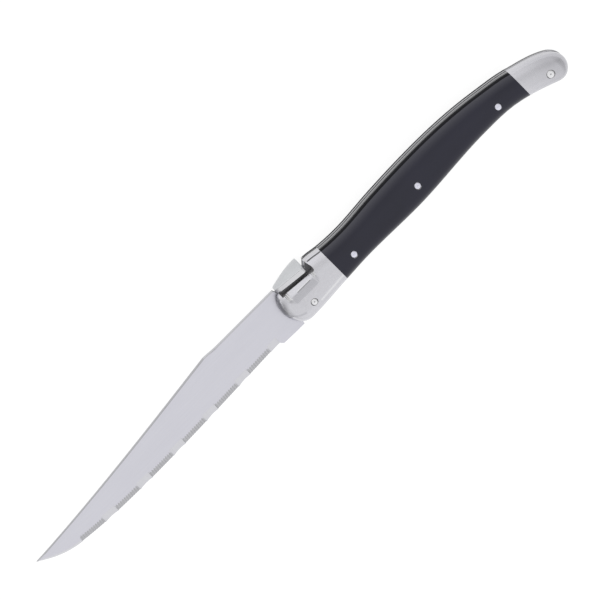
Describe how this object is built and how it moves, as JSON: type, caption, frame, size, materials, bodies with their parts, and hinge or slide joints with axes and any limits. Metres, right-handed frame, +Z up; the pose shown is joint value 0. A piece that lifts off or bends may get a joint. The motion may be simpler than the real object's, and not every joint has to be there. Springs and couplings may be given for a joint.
{
  "type": "steak knife",
  "caption": "Table steak knife with a scalloped, fine-toothed clip blade, full tang, steel liners and bolsters, dark riveted scales and a flared plate on the spine.",
  "frame": {"origin": "under the middle of the knife's box, on the surface that its right side lies on", "axes": "+X from the tip to the butt, +Y towards the spine, +Z up out of the left side"},
  "size_m": [0.2302, 0.0196, 0.0116],
  "materials": {
    "blade_steel": "satin, ground lengthwise",
    "liner_steel": "filed edge",
    "bolster_steel": "polished",
    "scale_resin": "satin black",
    "rivet_steel": "polished flush"
  },
  "bodies": {
    "root": {"blade": "blade_steel", "left_liner": "liner_steel", "right_liner": "liner_steel", "left_front_bolster": "bolster_steel", "right_front_bolster": "bolster_steel", "left_scale": "scale_resin", "right_scale": "scale_resin", "left_rear_bolster": "bolster_steel", "right_rear_bolster": "bolster_steel", "fly_plate": "bolster_steel", "front_rivet": "rivet_steel", "rear_rivet": "rivet_steel", "scale_pin_front": "rivet_steel", "scale_pin_middle": "rivet_steel", "scale_pin_rear": "rivet_steel"}
  },
  "joints": []
}
